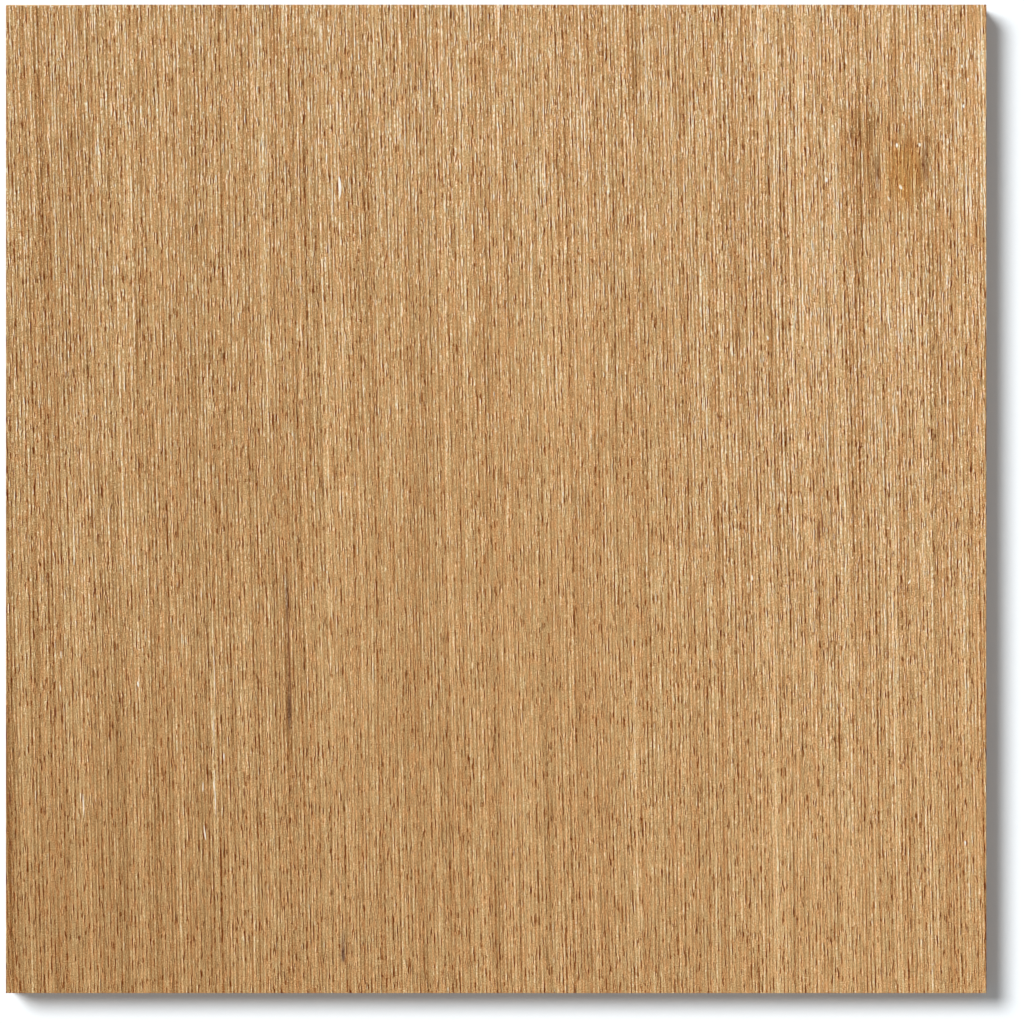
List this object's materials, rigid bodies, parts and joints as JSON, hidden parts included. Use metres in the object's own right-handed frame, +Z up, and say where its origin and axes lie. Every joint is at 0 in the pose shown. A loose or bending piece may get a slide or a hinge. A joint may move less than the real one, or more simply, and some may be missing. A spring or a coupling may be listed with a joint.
{
  "type": "decorative plywood panel",
  "caption": "Square plywood sample panel with a straight-grained, finely lined tan decorative face veneer over crossed inner plies and a plain back veneer.",
  "frame": {"origin": "middle of the panel's underside", "axes": "+Z up out of the decorative face, +Y along the grain of that face, +X across it"},
  "size_m": [0.2, 0.2016, 0.009],
  "materials": {
    "face_veneer": "unlacquered straight-grained tan veneer with fine lines, open pores and a glue stain",
    "back_veneer": "plain sanded rotary-cut veneer",
    "long_ply": "sawn pale hardwood veneer, grain along the panel",
    "cross_ply": "sawn pale hardwood veneer, grain across the panel"
  },
  "bodies": {
    "root": {"back_veneer": "back_veneer", "back_crossband": "cross_ply", "lower_inner_ply": "long_ply", "core_ply": "cross_ply", "upper_inner_ply": "long_ply", "face_crossband": "cross_ply", "face_veneer": "face_veneer"}
  },
  "joints": []
}
